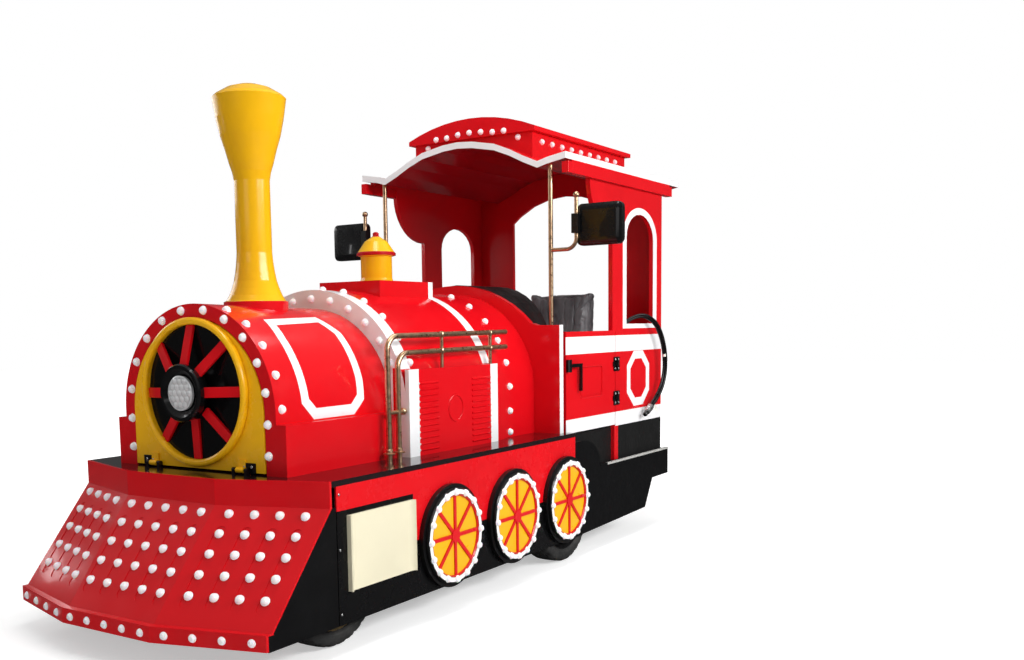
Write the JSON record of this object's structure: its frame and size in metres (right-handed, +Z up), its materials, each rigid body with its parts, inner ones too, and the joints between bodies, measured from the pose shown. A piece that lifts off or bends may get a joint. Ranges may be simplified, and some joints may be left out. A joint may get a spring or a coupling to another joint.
{
  "type": "trackless fairground train locomotive",
  "caption": "Steam-style fairground road locomotive with boiler, chimney, arched cab, plow front and steered rubber-tyred wheels.",
  "frame": {"origin": "middle of the bounding box at ground level", "axes": "+X forward along the longest extent, +Y to the vehicle's left, +Z up"},
  "size_m": [4.2104, 2.02, 2.53],
  "materials": {
    "chassis_black": "satin",
    "battery_grey": "satin",
    "red_paint": "high gloss",
    "black_paint": "satin",
    "deck_black": "gloss",
    "skirt_paint": "gloss",
    "wheel_paint": "gloss",
    "cream_paint": "gloss",
    "yellow_paint": "high gloss",
    "lamp_black": "gloss",
    "soft_black": "satin",
    "floor_black": "matte",
    "roof_paint": "high gloss",
    "brass_tube": "antique satin",
    "seat_leather": "soft crinkled",
    "rim_paint": "satin metallic",
    "tyre_rubber": "matte",
    "cable_rubber": "satin",
    "plug_metal": "cast satin"
  },
  "bodies": {
    "chassis": {"chassis_frame": "chassis_black", "front_axle_beam": "chassis_black", "rear_axle": "chassis_black", "battery_block": "battery_grey", "plow_panel": "red_paint", "plow_sides": "black_paint", "deck_plate": "deck_black", "side_skirts": "skirt_paint", "rear_skirts": "black_paint", "decorative_wheels": "wheel_paint", "service_covers": "cream_paint", "smokebox": "red_paint", "boiler_middle": "red_paint", "firebox": "red_paint", "steam_dome": "yellow_paint", "chimney": "yellow_paint", "cab_bulkhead": "red_paint", "dash_console": "soft_black", "cab_floor": "floor_black", "cab_sills": "black_paint", "cab_side_left": "red_paint", "cab_side_right": "red_paint", "cab_rear_wall": "red_paint", "roof_panel": "roof_paint", "clerestory": "red_paint", "roof_posts": "brass_tube", "driver_seat": "seat_leather", "handrails": "brass_tube", "side_cable": "cable_rubber", "cable_gland": "lamp_black", "cable_plug": "plug_metal"},
    "steer_left": {"knuckle_left": "chassis_black"},
    "steer_right": {"knuckle_right": "chassis_black"},
    "wheel_front_left": {"rim_front_left": "rim_paint", "tyre_front_left": "tyre_rubber"},
    "wheel_front_right": {"rim_front_right": "rim_paint", "tyre_front_right": "tyre_rubber"},
    "wheel_rear_left": {"rim_rear_left": "rim_paint", "tyre_rear_left": "tyre_rubber"},
    "wheel_rear_right": {"rim_rear_right": "rim_paint", "tyre_rear_right": "tyre_rubber"},
    "door_left": {"cab_door_left": "red_paint"},
    "door_right": {"cab_door_right": "red_paint"},
    "front_door": {"smokebox_door": "yellow_paint", "door_spokes": "red_paint", "headlight": "lamp_black"},
    "hand_wheel": {"steering_wheel": "soft_black"}
  },
  "joints": [
    {"name": "steer_left_turn", "type": "hinge", "parent": "chassis", "child": "steer_left", "pos_m": [1.43975, 0.522, 0.278], "axis": [0, 0, 1], "range_deg": [-17, 17]},
    {"name": "steer_right_turn", "type": "hinge", "parent": "chassis", "child": "steer_right", "pos_m": [1.43975, -0.522, 0.278], "axis": [0, 0, 1], "range_deg": [-17, 17]},
    {"name": "hand_wheel_turn", "type": "hinge", "parent": "chassis", "child": "hand_wheel", "pos_m": [-1.06906, 0, 1.29936], "axis": [-0.7514, 0, 0.6599], "range_deg": [-340, 340]},
    {"name": "wheel_front_left_spin", "type": "hinge", "parent": "steer_left", "child": "wheel_front_left", "pos_m": [1.43975, 0.587, 0.278], "axis": [0, 1, 0], "continuous": true},
    {"name": "wheel_front_right_spin", "type": "hinge", "parent": "steer_right", "child": "wheel_front_right", "pos_m": [1.43975, -0.587, 0.278], "axis": [0, 1, 0], "continuous": true},
    {"name": "wheel_rear_left_spin", "type": "hinge", "parent": "chassis", "child": "wheel_rear_left", "pos_m": [-0.44025, 0.655, 0.278], "axis": [0, 1, 0], "continuous": true},
    {"name": "wheel_rear_right_spin", "type": "hinge", "parent": "chassis", "child": "wheel_rear_right", "pos_m": [-0.44025, -0.655, 0.278], "axis": [0, 1, 0], "continuous": true},
    {"name": "door_left_swing", "type": "hinge", "parent": "chassis", "child": "door_left", "pos_m": [-1.14025, 0.71, 0.97], "axis": [0, 0, 1], "range_deg": [0, 95]},
    {"name": "door_right_swing", "type": "hinge", "parent": "chassis", "child": "door_right", "pos_m": [-1.14025, -0.71, 0.97], "axis": [0, 0, 1], "range_deg": [-95, 0]},
    {"name": "front_door_drop", "type": "hinge", "parent": "chassis", "child": "front_door", "pos_m": [1.58075, 0, 0.732], "axis": [0, 1, 0], "range_deg": [0, 85]}
  ],
  "couplings": [
    {"joint": "steer_right_turn", "follows": "steer_left_turn", "ratio": 1},
    {"joint": "hand_wheel_turn", "follows": "steer_left_turn", "ratio": 20}
  ]
}
